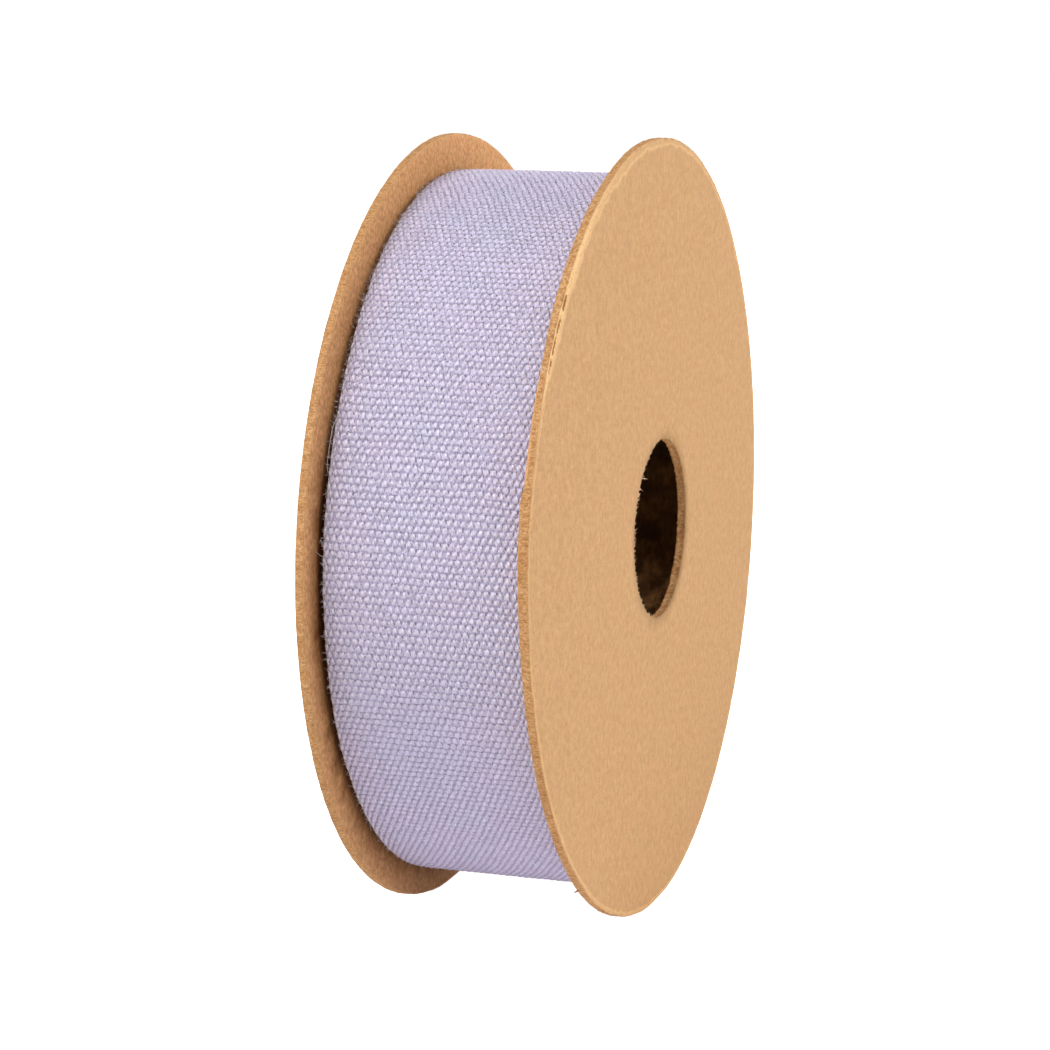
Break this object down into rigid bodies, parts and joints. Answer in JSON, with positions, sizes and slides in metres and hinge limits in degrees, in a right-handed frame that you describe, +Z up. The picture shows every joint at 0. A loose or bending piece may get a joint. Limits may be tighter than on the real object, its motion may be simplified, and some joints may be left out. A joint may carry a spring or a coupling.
{
  "type": "roll of gift ribbon",
  "caption": "Woven cotton gift ribbon wound on a kraft cardboard spool with a round spindle hole, standing on its rims.",
  "frame": {"origin": "on the surface that the spool stands on, below the middle of the spool", "axes": "+Z up, +X along the spool's axis towards the front board, +Y towards the back of the roll, where the ribbon's cut end lies"},
  "size_m": [0.0242, 0.08, 0.0798],
  "materials": {
    "kraft_board": "uncoated kraft board, matte",
    "tube_paper": "spirally wound brown paper, matte",
    "lilac_cotton": "plain-woven lilac cotton, matte"
  },
  "bodies": {
    "root": {"board_front": "kraft_board", "board_back": "kraft_board", "paper_tube": "tube_paper", "ribbon_roll": "lilac_cotton"}
  },
  "joints": []
}
